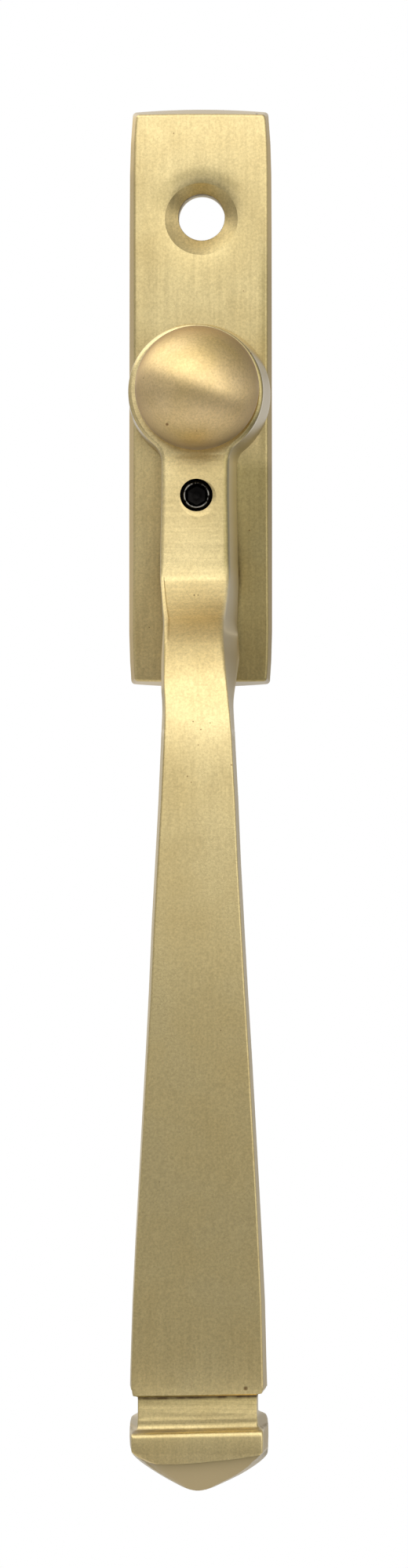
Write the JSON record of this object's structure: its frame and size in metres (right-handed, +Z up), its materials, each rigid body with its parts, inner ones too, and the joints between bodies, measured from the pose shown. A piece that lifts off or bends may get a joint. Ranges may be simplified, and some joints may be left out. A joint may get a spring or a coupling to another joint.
{
  "type": "espagnolette window handle",
  "caption": "Slim brass window handle: crowned backplate, ball at the pivot and a cranked lever with a flat tapered grip and pyramid end, on a square spindle.",
  "frame": {"origin": "on the spindle's axis, in the plane of the plate's back, midway between the fixing holes", "axes": "+Y into the window frame along the spindle, -Y into the room, +Z up along the plate, +X to the right seen from the room"},
  "size_m": [0.0172, 0.0648, 0.1631],
  "materials": {
    "cast_brass": "satin brass, linished and then dulled, with a fine sandy grain",
    "turned_brass": "satin brass, turned and buffed smoother than the castings",
    "blackened_steel": "black oxide",
    "zinc_plated_steel": "bright zinc plate, slightly dull",
    "spring_steel": "bare spring steel, oiled",
    "acetal": "moulded acetal, natural white"
  },
  "bodies": {
    "plate": {"backplate": "cast_brass", "bearing_bush": "acetal", "thrust_washer": "zinc_plated_steel"},
    "lever": {"lever": "cast_brass", "ball_knob": "turned_brass", "spindle": "zinc_plated_steel", "wave_washer": "spring_steel", "back_washer": "zinc_plated_steel", "snap_ring": "spring_steel"},
    "lock_screw": {"lock_screw": "blackened_steel"}
  },
  "joints": [
    {"name": "lever_turn", "type": "hinge", "parent": "plate", "child": "lever", "pos_m": [0, 0, 0], "axis": [0, 1, 0], "range_deg": [-90, 90]},
    {"name": "lock_screw_travel", "type": "slide", "parent": "lever", "child": "lock_screw", "axis": [0, 1, 0], "range_m": [0, 0.003]}
  ]
}
